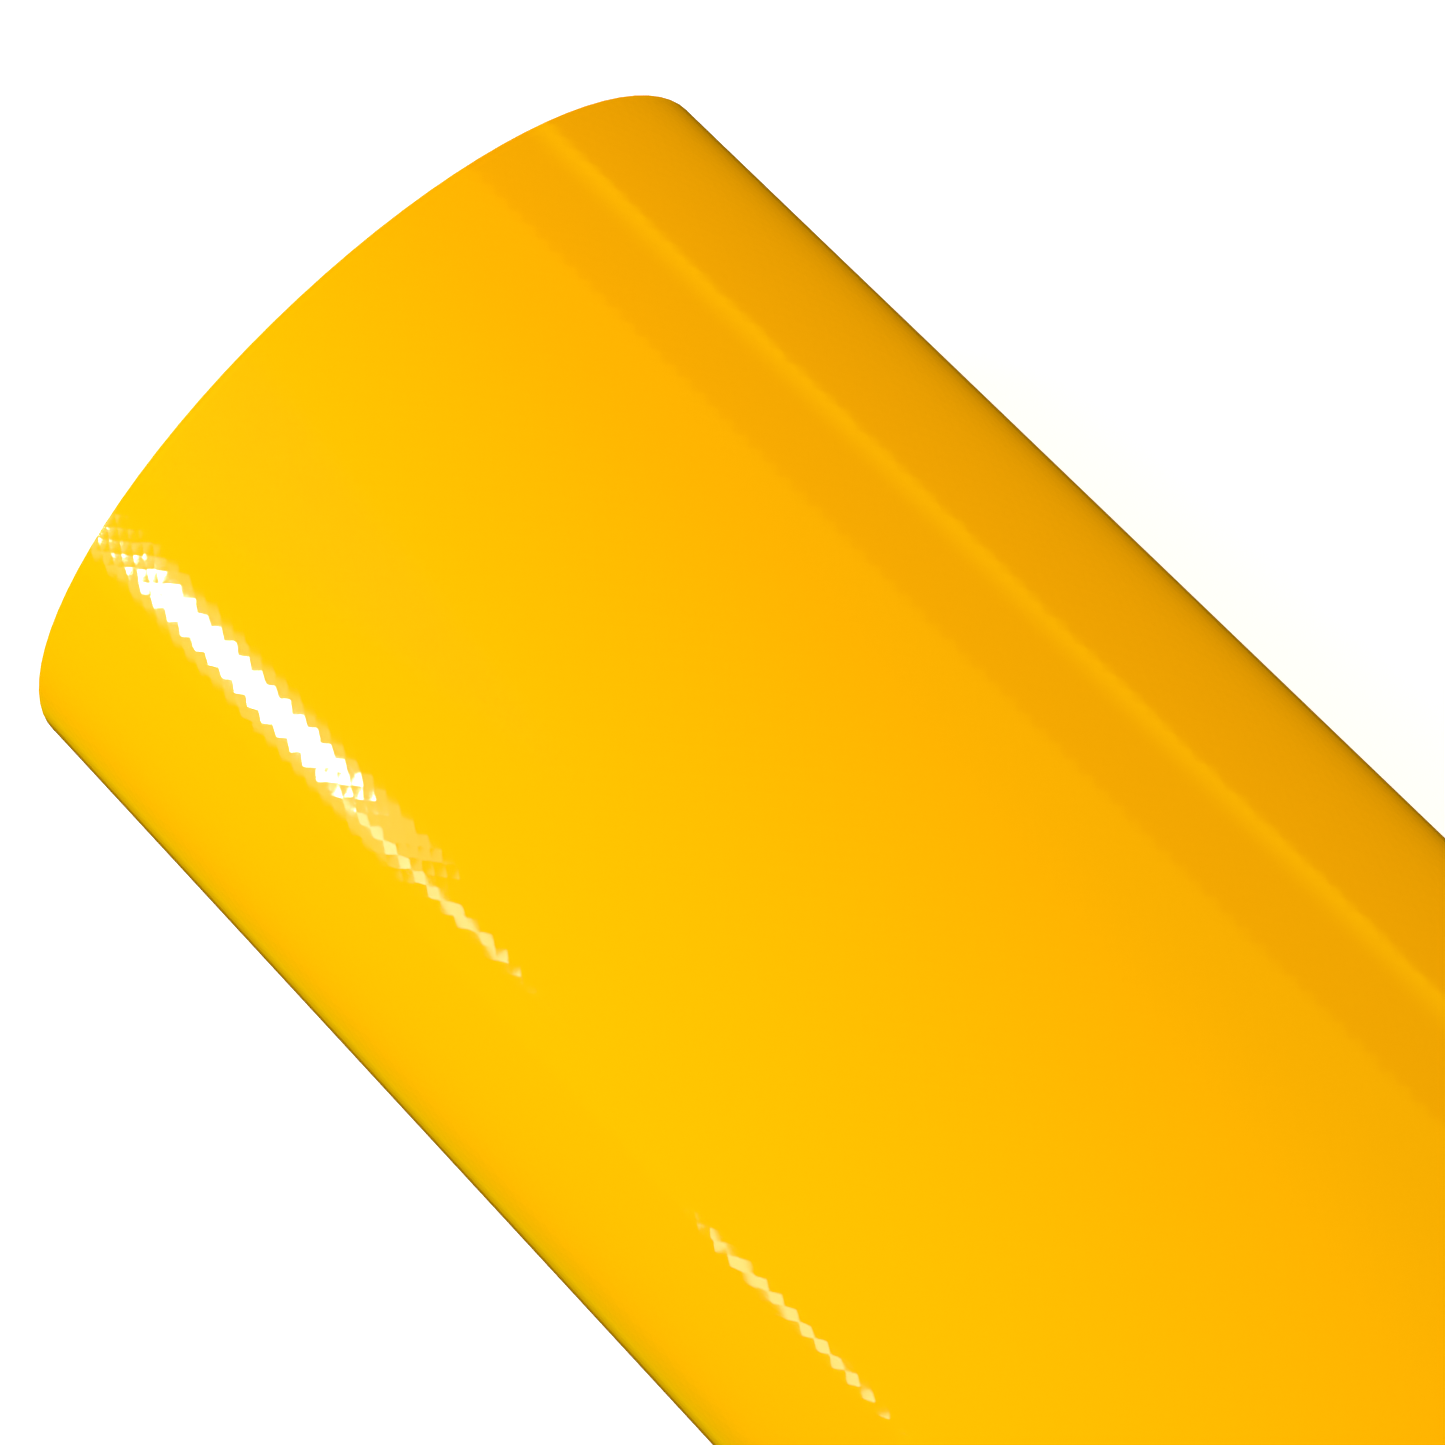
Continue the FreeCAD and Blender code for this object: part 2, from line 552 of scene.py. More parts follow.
@dataclass(frozen=True)
class CoreBoard(Finish):
    """Recycled grey-brown board, wound and glued: matt, clouded, with stray fibres and flecks."""

    light: str = "#B9986C"
    cloud: float = 9 * MM
    fibre: float = 1.6 * MM  # across a fibre
    fibre_slimness: float = 0.35  # a fibre's width over its length, which is along the core
    tooth: float = 0.06 * MM
    fleck: str = "#6B4E31"
    fleck_spacing: float = 7 * MM
    fleck_slimness: float = 0.3
    fleck_core: float = 0.03  # where a fleck starts to fade, as a share of the spacing
    fleck_rim: float = 0.06  # where it ends
    swirl: float = 14 * MM
    swirl_reach: float = 20 * MM  # how far a swirl carries the flecks off

    def build(self) -> bpy.types.Material:
        """Builds the board's nodes in the roll's own space.

        Returns:
            The material.
        """
        board = blank(self.name)
        place = add(board, "TexCoord").outputs["Object"]
        grain = add(board, "Mapping", {"Vector": place, "Scale": (self.fibre_slimness, 1.0, 1.0)})
        clouds = noise(board, place, self.cloud, 5.0).outputs["Fac"]
        fibres = noise(board, grain.outputs[0], self.fibre, 6.0, roughness=0.7).outputs["Fac"]
        swirl = noise(board, place, self.swirl, 1.0).outputs["Color"]
        swirled = add(
            board,
            "VectorMath",
            {0: swirl, 1: (self.swirl_reach,) * 3, 2: place},
            operation="MULTIPLY_ADD",
        )
        strands = add(
            board,
            "Mapping",
            {"Vector": swirled.outputs[0], "Scale": (self.fleck_slimness, 1.0, 1.0)},
        )
        flecks = add(
            board,
            "TexVoronoi",
            {"Vector": strands.outputs[0], "Scale": 1 / self.fleck_spacing, "Randomness": 1.0},
        )
        off_fleck = add(
            board,
            "MapRange",
            {
                "Value": flecks.outputs["Distance"],
                "From Min": self.fleck_core,
                "From Max": self.fleck_rim,
            },
        )
        light = linear(self.light)
        clouded = mixed(board, clouds, linear(self.colour), light)
        fibrous = mixed(board, fibres, clouded, light)
        return shade(
            board,
            {
                "Base Color": mixed(board, off_fleck.outputs[0], linear(self.fleck), fibrous),
                "Roughness": self.roughness,
                "Normal": bumps(board, fibres, self.tooth),
            },
        )


@dataclass(frozen=True)
class ClearTape(Finish):
    """Polypropylene tape with clear adhesive: glossy, see-through, faintly yellow."""

    veil: float = 0.06  # how much of what is under the tape it hides
    pull: float = 9 * MM  # from one mark of the drawing of the film to the next
    squeeze: float = 6.0  # how much closer those marks are along the roll
    ripple: float = 0.03 * MM
    refraction: float = 1.49

    def build(self) -> bpy.types.Material:
        """Builds the tape's nodes in the roll's own space.

        Returns:
            The material.
        """
        tape = blank(self.name)
        place = add(tape, "TexCoord").outputs["Object"]
        streaks = add(tape, "Mapping", {"Vector": place, "Scale": (self.squeeze, 1.0, 1.0)})
        pulls = noise(tape, streaks.outputs[0], self.pull, 2.0).outputs["Fac"]
        return shade(
            tape,
            {
                "Base Color": linear(self.colour),
                "Roughness": self.roughness,
                "IOR": self.refraction,
                "Alpha": self.veil,
                "Normal": bumps(tape, pulls, self.ripple),
            },
        )


@dataclass(frozen=True)
class TransferTape(Finish):
    """Double-sided tissue tape: milky, soft and a little uneven."""

    shadow: str = "#D9D2BF"
    tissue: float = 1.2 * MM

    def build(self) -> bpy.types.Material:
        """Builds the tape's nodes in the roll's own space.

        Returns:
            The material.
        """
        tape = blank(self.name)
        place = add(tape, "TexCoord").outputs["Object"]
        tissue = noise(tape, place, self.tissue, 4.0).outputs["Fac"]
        tone = mixed(tape, tissue, linear(self.shadow), linear(self.colour))
        return shade(tape, {"Base Color": tone, "Roughness": self.roughness})


@dataclass(frozen=True)
class LightTable(Finish):
    """Opal acrylic over a lamp: matt, white, and lit a little from below."""

    glow: float = 0.62  # the light that comes through it, where 1 is as bright as white
    grain: float = 2 * MM
    tooth: float = 0.05 * MM
    tooth_kept: float = 0.1

    def build(self) -> bpy.types.Material:
        """Builds the ground's nodes in its own space.

        Returns:
            The material.
        """
        acrylic = blank(self.name)
        place = add(acrylic, "TexCoord").outputs["Object"]
        grain = noise(acrylic, place, self.grain, 2.0).outputs["Fac"]
        return shade(
            acrylic,
            {
                "Base Color": linear(self.colour),
                "Roughness": self.roughness,
                "Specular IOR Level": 0.0,
                "Emission Color": linear(self.colour),
                "Emission Strength": self.glow,
                "Normal": bumps(acrylic, grain, self.tooth, strength=self.tooth_kept),
            },
        )


FILM = GlossFilm("gloss_cast_pvc_film", "#FDAE00", 0.045)
ADHESIVE = AdhesiveFace("adhesive_on_pvc_film", "#EDB61C", 0.32)
LINER = ReleasePaper("silicone_coated_release_paper", "#F7F6F1", 0.42)
BOARD = CoreBoard("wound_core_board", "#96764F", 0.88)
TAPE = ClearTape("clear_polypropylene_tape", "#FFE7A6", 0.09)
TISSUE_TAPE = TransferTape("double_sided_tissue_tape", "#EFEADB", 0.6)
GROUND = LightTable("lit_opal_acrylic", "#F6F6F4", 0.9)


# ---------------------------------------------------------------- the core


@dataclass
class PaperCore:
    """The core: strips of board, each wound in a helix on the one inside it.

    The edges of a strip meet in a butt seam, which runs round the tube in the same helix, and
    each ply's seam is moved along from the seam under it.
    """

    plies: int = 8
    advance: float = 144 * MM  # along the core for one turn of a strip
    seam: float = 0.45 * MM  # the open gap at the seam, along the core
    stagger: float = 53 * MM  # from one ply's seam to the next one's, along the core
    edge: float = 0.05 * MM  # what the slitting knife rounded off the strip's edges
    sharp: float = math.radians(50)  # edges that turn by more than this are rounded
    spare_turns: int = 2  # of each strip, sawn off with the ends
    steps: int = 96  # round the tube

    def ply(self, number: int) -> bpy.types.Object:
        """Winds one ply from a flat section of its strip and saws its ends square.

        Args:
            number: The ply's number, counted from the bore outwards.

        Returns:
            The ply.
        """
        node = f"core_ply_{number}"
        low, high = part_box(node)
        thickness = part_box("core_ply_1")[1].z - self.bore()
        outer = high.z
        inner = outer - thickness
        turns = math.ceil((high.x - low.x) / self.advance) + self.spare_turns
        start = low.x - self.advance - (number * self.stagger) % self.advance
        bpy.ops.object.select_all(action="DESELECT")
        width = self.advance - self.seam
        bpy.ops.mesh.primitive_plane_add(
            size=1,
            location=(start + width / 2, 0, (inner + outer) / 2),
            rotation=(QUARTER, 0, 0),
        )
        piece = bpy.context.object
        piece.name = f"board_ply_{number}"
        piece.scale = (width, thickness, 1)
        Workbench.settle(piece)
        Workbench.modify(
            piece,
            "SCREW",
            axis="X",
            angle=TAU,
            screw_offset=self.advance,
            iterations=turns,
            steps=self.steps,
            render_steps=self.steps,
            use_merge_vertices=False,
        )
        with Workbench.editing(piece):
            for end, side in ((low.x + self.edge, -1), (high.x - self.edge, 1)):
                bpy.ops.mesh.select_all(action="SELECT")
                bpy.ops.mesh.bisect(
                    plane_co=(end, 0, 0),
                    plane_no=(side, 0, 0),
                    use_fill=True,
                    clear_outer=True,
                )
        Workbench.close_up(piece)
        Workbench.modify(
            piece,
            "BEVEL",
            width=self.edge,
            segments=1,
            limit_method="ANGLE",
            angle_limit=self.sharp,
        )
        points = Workbench.points(piece)
        points[:, 0] = points[:, 0].clip(low.x, high.x)
        Workbench.place(piece, points)
        Workbench.smooth(piece)
        return piece

    def bore(self) -> float:
        """Works out the radius of the bore from the plies' outer faces.

        Returns:
            The radius.
        """
        outer_faces = [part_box(f"core_ply_{number}")[1].z for number in (1, self.plies)]
        thickness = (outer_faces[1] - outer_faces[0]) / (self.plies - 1)
        return outer_faces[0] - thickness

    def build(self) -> list[bpy.types.Object]:
        """Builds and dresses every ply.

        Returns:
            The plies, from the bore outwards.
        """
        made = []
        for number in range(1, self.plies + 1):
            piece = self.ply(number)
            piece.data.materials.append(BOARD.material())
            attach(piece, Body.ROLL.value)
            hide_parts(f"core_ply_{number}")
            made.append(piece)
        return made


# ---------------------------------------------------------------- the web


@dataclass
class Winding:
    """The spiral that the web follows: quarter circles struck from the corners of a square."""

    turns: int = 32
    root: float = math.radians(165)  # where the spiral starts and ends
    liner_share: float = 0.565  # how much of the web's thickness is liner
    rim_flare: float = 0.02 * MM  # how far the web's slit edges stand out from the roll
    flare_reach: float = 1.1 * MM  # in from the rim, where the flare has sunk to 1/e of that
    # columns of vertices, by how far in from the rim they are
    rim_rows: tuple[float, ...] = (0.3 * MM, 0.8 * MM, 1.6 * MM, 3.0 * MM, 6.0 * MM)
    steps: int = 24  # to a quarter circle

    def __post_init__(self) -> None:
        """Works out the spiral from the frame, drawn in by what its rims stand out."""
        tape_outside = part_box("start_tape")[1].y
        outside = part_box("face_film")[1].z - self.rim_flare
        self.pitch = (outside - tape_outside) / (self.turns + 1)
        self.start = tape_outside + self.pitch / CORNERS
        self.liner = self.pitch * self.liner_share
        self.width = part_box("face_film")[1].x * 2

    def centre(self, quarter: int) -> Vector:
        """The centre of a quarter circle of the spiral.

        Args:
            quarter: Its number, counted from the web's first edge.

        Returns:
            A place on the plane across the roll's middle.
        """
        corners = [Vector((0, 0, 0))]
        for corner in range(1, CORNERS):
            step = outward(self.root + corner * QUARTER) * (self.pitch / CORNERS)
            corners.append(corners[-1] - step)
        middle = sum(corners, Vector((0, 0, 0))) / CORNERS
        return corners[quarter % CORNERS] - middle

    def section(
        self,
        name: str,
        centre: Vector,
        angle: float,
        radius: float,
        thickness: float,
        columns: list[float],
    ) -> bpy.types.Object:
        """Stands the outline of the web's flat section where a stretch of it starts.

        Args:
            name: The piece's name.
            centre: The centre of the stretch.
            angle: Where the stretch starts, round that centre.
            radius: The section's inner face, from that centre.
            thickness: The section's thickness.
            columns: Places along the roll where the section is divided.

        Returns:
            The piece, a loop of edges so far.
        """
        bpy.ops.object.select_all(action="DESELECT")
        bpy.ops.mesh.primitive_plane_add(
            size=1,
            location=centre + outward(angle) * (radius + thickness / 2),
            rotation=(math.pi - angle, 0, 0),
        )
        piece = bpy.context.object
        piece.name = name
        piece.scale = (self.width, thickness, 1)
        Workbench.settle(piece)
        Workbench.cut_columns(piece, columns)
        with Workbench.editing(piece, "FACE"):
            bpy.ops.mesh.select_all(action="SELECT")
            bpy.ops.mesh.delete(type="ONLY_FACE")
        with Workbench.editing(piece, "EDGE"):
            rims = bmesh.from_edit_mesh(piece.data)
            inside = [
                edge
                for edge in rims.edges
                if all(abs(v.co.x) < self.width / 2 - LEVEL for v in edge.verts)
                and abs(edge.verts[0].co.x - edge.verts[1].co.x) < LEVEL
            ]
            bmesh.ops.delete(rims, geom=inside, context="EDGES")
            bmesh.update_edit_mesh(piece.data)
        return piece

    def turn(
        self, name: str, first: int, depth: float, thickness: float, columns: list[float]
    ) -> bpy.types.Object:
        """Spins one whole turn of a layer of the web, open at both ends.

        Args:
            name: The turn's name.
            first: Its first quarter, counted from the web's first edge.
            depth: From the web's inner face to the layer's.
            thickness: The layer's thickness.
            columns: Places along the roll where the layer is divided.

        Returns:
            The turn.
        """
        angle = self.root + first * QUARTER
        radius = self.start + self.pitch * first / CORNERS + depth
        piece = self.section(name, self.centre(first), angle, radius, thickness, columns)
        quarters = range(first, first + CORNERS)
        self.spin(piece, [(self.centre(quarter), QUARTER, self.steps) for quarter in quarters])
        return piece

    @staticmethod
    def spin(piece: bpy.types.Object, arcs: list[tuple[Vector, float, int]]) -> None:
        """Spins the outline of a section along arcs.

        Args:
            piece: The section.
            arcs: Each arc's centre, its angle and the number of steps in it.
        """
        with Workbench.editing(piece, "EDGE"):
            bpy.ops.mesh.select_all(action="SELECT")
            for centre, sweep, steps in arcs:
                bpy.ops.mesh.spin(steps=steps, angle=sweep, center=centre, axis=(1, 0, 0))

    def columns(self) -> list[float]:
        """Places along the roll that divide the web near its rims, so that they can flare."""
        rims = [self.width / 2 - row for row in self.rim_rows]
        return [side * rim for rim in rims for side in (-1, 1)]

    def flare(self, piece: bpy.types.Object) -> None:
        """Lets the slit edges of a piece stand out from the roll.

        Args:
            piece: The piece, already wound.
        """
        points = Workbench.points(piece)
        distance = self.width / 2 - np.abs(points[:, 0])
        radius = np.hypot(points[:, 1], points[:, 2])
        out = 1 + self.rim_flare * np.exp(-distance / self.flare_reach) / radius
        points[:, 1] *= out
        points[:, 2] *= out
        Workbench.place(piece, points)

    @staticmethod
    def wander(piece: bpy.types.Object) -> None:
        """Shifts each turn a little along the roll, as turns do when a web is wound.

        Args:
            piece: The piece, already wound.
        """
        points = Workbench.points(piece)
        radius = np.hypot(points[:, 1], points[:, 2])
        angle = np.arctan2(points[:, 2], -points[:, 1])
        tight_shift, tight_pitch = 0.06 * MM, 0.87 * MM  # along the roll, and in radius
        loose_shift, loose_pitch = 0.09 * MM, 3.1 * MM
        tight_lag = 1.5 * np.sin(angle)  # keeps a shift from being the same all the way round
        loose_lag = np.sin(2 * angle + 0.6)
        tight = tight_shift * np.sin(TAU * radius / tight_pitch + tight_lag)
        loose = loose_shift * np.sin(TAU * radius / loose_pitch + loose_lag)
        points[:, 0] += tight + loose
        Workbench.place(piece, points)

    def unroll(
        self, piece: bpy.types.Object, turn: int | None = None, middle: float = 0.0
    ) -> None:
        """Gives a piece a map of the flat web, in metres across and along it.

        Args:
            piece: The piece, already wound.
            turn: The turn that the piece starts in, or None where its radius tells.
            middle: From the web's inner face to the middle of the piece's thickness.
        """
        points = Workbench.points(piece)
        radius = np.hypot(points[:, 1], points[:, 2])
        angle = np.arctan2(points[:, 2], -points[:, 1]) - self.root
        if turn is None:
            whole = np.round((radius - self.start - middle) / self.pitch - angle / TAU)
        else:
            slack = 1e-4  # radians, for the vertices on the line where the turn starts
            whole = np.where(angle < -slack, turn + 1, turn)
        length = (angle + TAU * whole) * radius
        flat = np.column_stack([points[:, 0], length])
        loops = np.empty(len(piece.data.loops), dtype=np.int32)
        piece.data.loops.foreach_get("vertex_index", loops)
        layer = piece.data.uv_layers.active or piece.data.uv_layers.new()
        layer.name = "web"
        layer.data.foreach_set("uv", flat[loops].astype(np.float32).ravel())


@dataclass
class WoundWeb:
    """The wound web: a spiral of liner and a spiral of film, laminated to each other.

    The last turn of the film is a piece of its own, finer than the turns that it hides.
    """

    winding: Winding

    def spiral(
        self, name: str, depth: float, thickness: float, quarters: tuple[int, int], fine: bool
    ) -> bpy.types.Object:
        """Winds one layer of the web.

        Args:
            name: The piece's name.
            depth: From the web's inner face to the layer's.
            thickness: The layer's thickness.
            quarters: The first quarter, and the one before which it stops.
            fine: Whether the layer has columns near its rims.

        Returns:
            The layer.
        """
        winding = self.winding
        columns = winding.columns() if fine else []
        turns = [
            winding.turn(f"{name}_{first}", first, depth, thickness, columns)
            for first in range(*quarters, CORNERS)
        ]
        piece = turns[0]
        Workbench.take(piece)
        for turn in turns[1:]:
            turn.select_set(True)
        if turns[1:]:
            bpy.ops.object.join()
        piece.name = name
        Workbench.close_up(piece, fill=True)
        winding.unroll(piece, middle=depth + thickness / 2)
        if fine:
            winding.flare(piece)
        winding.wander(piece)
        Workbench.smooth(piece)
        return piece

    def build(self) -> list[bpy.types.Object]:
        """Builds and dresses the liner, the film's hidden turns and its last one.

        Returns:
            The three pieces.
        """
        winding = self.winding
        end = CORNERS * winding.turns
        last = end - CORNERS
        film = winding.pitch - winding.liner
        liner = self.spiral("wound_liner", 0, winding.liner, (0, end), False)
        inner = self.spiral("wound_film", winding.liner, film, (0, last), False)
        outer = self.spiral("last_film_turn", winding.liner, film, (last, end), True)
        for piece, finish, slot, node in (
            (liner, LINER, Slot.PAPER, "release_liner"),
            (inner, FILM, Slot.FILM, "face_film"),
            (outer, FILM, Slot.FILM, "face_film"),
        ):
            piece.data.materials.append(finish.material())
            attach(piece, Body.ROLL.value)
            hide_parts(node)
        return [liner, inner, outer]


# ---------------------------------------------------------------- the loose end


@dataclass
class LooseEnd:
    """The web's loose end: a tail of liner and film that eases off the roll, and the film's flap
    past the peel line.
    """

    winding: Winding
    ease: float = 0.45 * MM  # how far the tail's centre is off the spiral's, so it lifts slowly
    fine_length: float = 8 * MM  # of closely spaced rows past a line that bends
    fine_rows: int = 20  # in that length
    other_rows: int = 14  # in the rest of the strip
    root_bend: float = 7 * MM  # how much of the web bends where the tail lifts
    peel_bend: float = 4.5 * MM  # and where the film peels

    def __post_init__(self) -> None:
        """Finds the tail's centre and the lines where it bends and ends."""
        winding = self.winding
        quarter = CORNERS * winding.turns
        self.radius = winding.start + winding.pitch * winding.turns
        self.centre = winding.centre(quarter) - outward(winding.root) * self.ease
        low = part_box("film_flap")[0]
        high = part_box("film_flap")[1]
        self.peel = math.atan2(high.z, -high.y) % TAU
        self.edge = math.atan2(low.z, -low.y) % TAU

    def strip(
        self, name: str, depth: float, thickness: float, start: float, stop: float
    ) -> bpy.types.Object:
        """Spins one layer of the tail from one angle round the roll to another.

        Args:
            name: The piece's name.
            depth: From the web's inner face to the layer's.
            thickness: The layer's thickness.
            start: The angle where the layer starts.
            stop: The angle where it ends.

        Returns:
            The layer.
        """
        winding = self.winding
        fine = self.fine_length / self.radius
        radius = self.radius + self.ease + depth
        columns = winding.columns()
        piece = winding.section(name, self.centre, start, radius, thickness, columns)
        rest = stop - start - fine
        arcs = [(self.centre, fine, self.fine_rows), (self.centre, rest, self.other_rows)]
        winding.spin(piece, arcs)
        Workbench.close_up(piece, fill=True)
        winding.unroll(piece, winding.turns)
        winding.flare(piece)
        winding.wander(piece)
        Workbench.smooth(piece)
        return piece

    def dress_film(self, piece: bpy.types.Object) -> None:
        """Gives a layer of film its glossy front, and its adhesive on the faces that look in.

        Args:
            piece: The layer of film.
        """
        looks_in = -0.5  # the cosine below which a face counts as looking at the roll
        piece.data.materials.append(FILM.material())
        piece.data.materials.append(ADHESIVE.material())
        for face in piece.data.polygons:
            away = Vector((0, face.center.y, face.center.z)).normalized()
            face.material_index = int(face.normal.dot(away) < looks_in)

    def bend(self, angle: float, length: float) -> tuple[Vector, Vector]:
        """The points between which a layer bends.

        Args:
            angle: The line that it bends on, as an angle round the roll.
            length: How much of the web bends.

        Returns:
            The first point, on the line, and the last one.
        """
        along = outward(angle + QUARTER)
        start = outward(angle) * self.radius
        return start, start + along * length

    def build(self) -> list[bpy.types.Object]:
        """Builds and dresses the tail's liner, its film and the film's flap.

        Returns:
            The three pieces.
        """
        winding = self.winding
        root = winding.root
        film = winding.pitch - winding.liner
        liner = self.strip("tail_of_liner", 0, winding.liner, root, self.edge)
        tail = self.strip("tail_of_film", winding.liner, film, root, self.peel)
        flap = self.strip("flap_of_film", winding.liner, film, self.peel, self.edge)
        liner.data.materials.append(LINER.material())
        self.dress_film(tail)
        self.dress_film(flap)
        lift = (Body.ROLL.value, Body.TAIL.value, *self.bend(root, self.root_bend))
        peel = (Body.TAIL.value, Body.FLAP.value, *self.bend(self.peel, self.peel_bend))
        for piece, slot, node, bend in (
            (liner, Slot.PAPER, "tail_liner", lift),
            (tail, Slot.FILM, "tail_film", lift),
            (flap, Slot.FILM, "film_flap", peel),
        ):
            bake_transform(piece)
            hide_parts(node)
        return [liner, tail, flap]


@dataclass
class HoldDownTabs:
    """Three pieces of clear tape that hold the free edge down on the roll.

    Each was torn off a toothed cutter, so both its ends are zigzag. It lies on the film, steps
    down over the free edge and lies on the turn below.
    """

    winding: Winding
    end: LooseEnd
    count: int = 3
    width: float = 50 * MM
    length: float = 20 * MM
    on_film: float = 9 * MM  # how much of that length is stuck to the film
    step_down: float = 1.3 * MM  # how much of the tape it takes to step down
    clear: float = 0.02 * MM  # between the tape and what it lies on
    thickness: float = 0.06 * MM
    tooth: float = 0.45 * MM  # how far the cutter's teeth reach in
    rows: int = 40  # along the web, so two to each tooth
    columns: int = 51

    def sheet(self, number: int) -> bpy.types.Object:
        """Lays one tab out flat, tears its ends and lays it round the roll.

        Args:
            number: The tab's number, from the left end of the roll.

        Returns:
            The tab.
        """
        low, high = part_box(f"hold_down_tab_{number}")
        bpy.ops.object.select_all(action="DESELECT")
        bpy.ops.mesh.primitive_grid_add(
            x_subdivisions=self.columns,
            y_subdivisions=self.rows,
            size=1,
            location=((low.x + high.x) / 2, 0, 0),
        )
        piece = bpy.context.object
        piece.name = f"tape_tab_{number}"
        piece.scale = (self.width, self.length, 1)
        Workbench.settle(piece)
        gap = self.length / self.rows
        close = 0.1 * MM  # nearer to an end than the next column is
        for place, side in ((low.x, 1), (high.x, -1)):
            with Workbench.editing(piece):
                Workbench.pick(
                    piece,
                    lambda point: abs(point.x - place) < close
                    and round((point.y + self.length / 2) / gap) % 2 == 0,
                )
                bpy.ops.transform.translate(value=(side * self.tooth, 0, 0))
        Workbench.place(piece, self.laid_round(Workbench.points(piece)))
        Workbench.modify(piece, "SOLIDIFY", thickness=self.thickness, offset=1.0)
        Workbench.close_up(piece)
        Workbench.smooth(piece, angle=50)
        return piece

    def laid_round(self, flat: np.ndarray) -> np.ndarray:
        """Carries the points of a flat tab on to the film and the turn below it.

        Args:
            flat: Rows of x, y and z, with y along the web.

        Returns:
            The same rows, laid round the roll.
        """
        winding = self.winding
        film_top = self.end.radius + winding.pitch
        angles = self.end.edge + (flat[:, 1] + self.length / 2 - self.on_film) / film_top
        past = (angles - self.end.edge) * film_top / self.step_down
        share = np.clip(past, 0, 1)
        share = share * share * (3 - 2 * share)  # levels out at both ends
        round_tail = np.array(
            [self.end.centre + outward(angle) * (film_top + self.end.ease) for angle in angles]
        )
        round_roll = np.array(
            [winding.centre(0) + outward(angle) * self.end.radius for angle in angles]
        )
        laid = round_tail + (round_roll - round_tail) * share[:, None]
        radius = np.hypot(laid[:, 1], laid[:, 2])
        laid[:, 1:] *= ((radius + self.clear) / radius)[:, None]
        laid[:, 0] = flat[:, 0]
        return laid

    def build(self) -> list[bpy.types.Object]:
        """Builds and dresses every tab.

        Returns:
            The tabs, from the left end of the roll.
        """
        made = []
        for number in range(1, self.count + 1):
            piece = self.sheet(number)
            piece.data.materials.append(TAPE.material())
            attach(piece, Body.FLAP.value)
            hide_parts(f"hold_down_tab_{number}")
            made.append(piece)
        return made


@dataclass
class StartTape:
    """The double-sided tape between the core and the web's first edge."""

    node: str = "start_tape"

    def build(self) -> list[bpy.types.Object]:
        """Dresses the tape.

        Returns:
            The tape, alone in a list.
        """
        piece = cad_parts[self.node]
        piece.data.materials.clear()
        piece.data.materials.append(TISSUE_TAPE.material())
        return [piece]


# ---------------------------------------------------------------- the studio


@dataclass(frozen=True)
class Lamp:
    """A rectangular lamp, aimed at the roll.

    Its direction is given in degrees: an azimuth, from the front and rising to the right, and
    an elevation above the floor.
    """

    name: str
    azimuth: float
    elevation: float
    size: tuple[float, float]
    radiance: float
    colour: str = "#FFFFFF"
    tilt: float = 0.0  # in degrees, about the line from the target to the lamp
    distance: float = 2.0  # from the target
    mirrored: bool = True  # whether it shows in glossy surfaces
    lights: bool = True  # whether it lights matt surfaces

    def build(self, target: Vector) -> bpy.types.Object:
        """Hangs the lamp.

        Args:
            target: What it is aimed at.

        Returns:
            The lamp.
        """
        turn, lift = math.radians(self.azimuth), math.radians(self.elevation)
        toward = Vector(
            (math.sin(turn) * math.cos(lift), -math.cos(turn) * math.cos(lift), math.sin(lift))
        )
        data = bpy.data.lights.new(self.name, "AREA")
        data.shape = "RECTANGLE"
        data.size, data.size_y = self.size
        data.energy = self.radiance * math.pi * self.size[0] * self.size[1]
        data.color = linear(self.colour)[:3]
        lamp = bpy.data.objects.new(self.name, data)
        bpy.context.scene.collection.objects.link(lamp)
        lamp.location = target + toward * self.distance
        aim = toward.to_track_quat("Z", "Y")
        lamp.rotation_euler = aim.to_euler()
        lamp.rotation_euler.rotate_axis("Z", math.radians(self.tilt))
        lamp.visible_camera = False
        lamp.visible_glossy = self.mirrored
        lamp.visible_diffuse = self.lights
        return lamp


@dataclass(frozen=True)
class Stop:
    """One colour of the room, at an angle over the roll.

    The angle, in degrees, is 0 at the back, level with the roll, 90 overhead and 180 at the
    front; below the level it is negative.
    """

    angle: float
    strength: float
    colour: str = "#FFFFFF"

    def light(self) -> list[float]:
        """The stop's light: red, green, blue and an alpha of 1."""
        return [self.strength * channel for channel in linear(self.colour)[:3]] + [1.0]


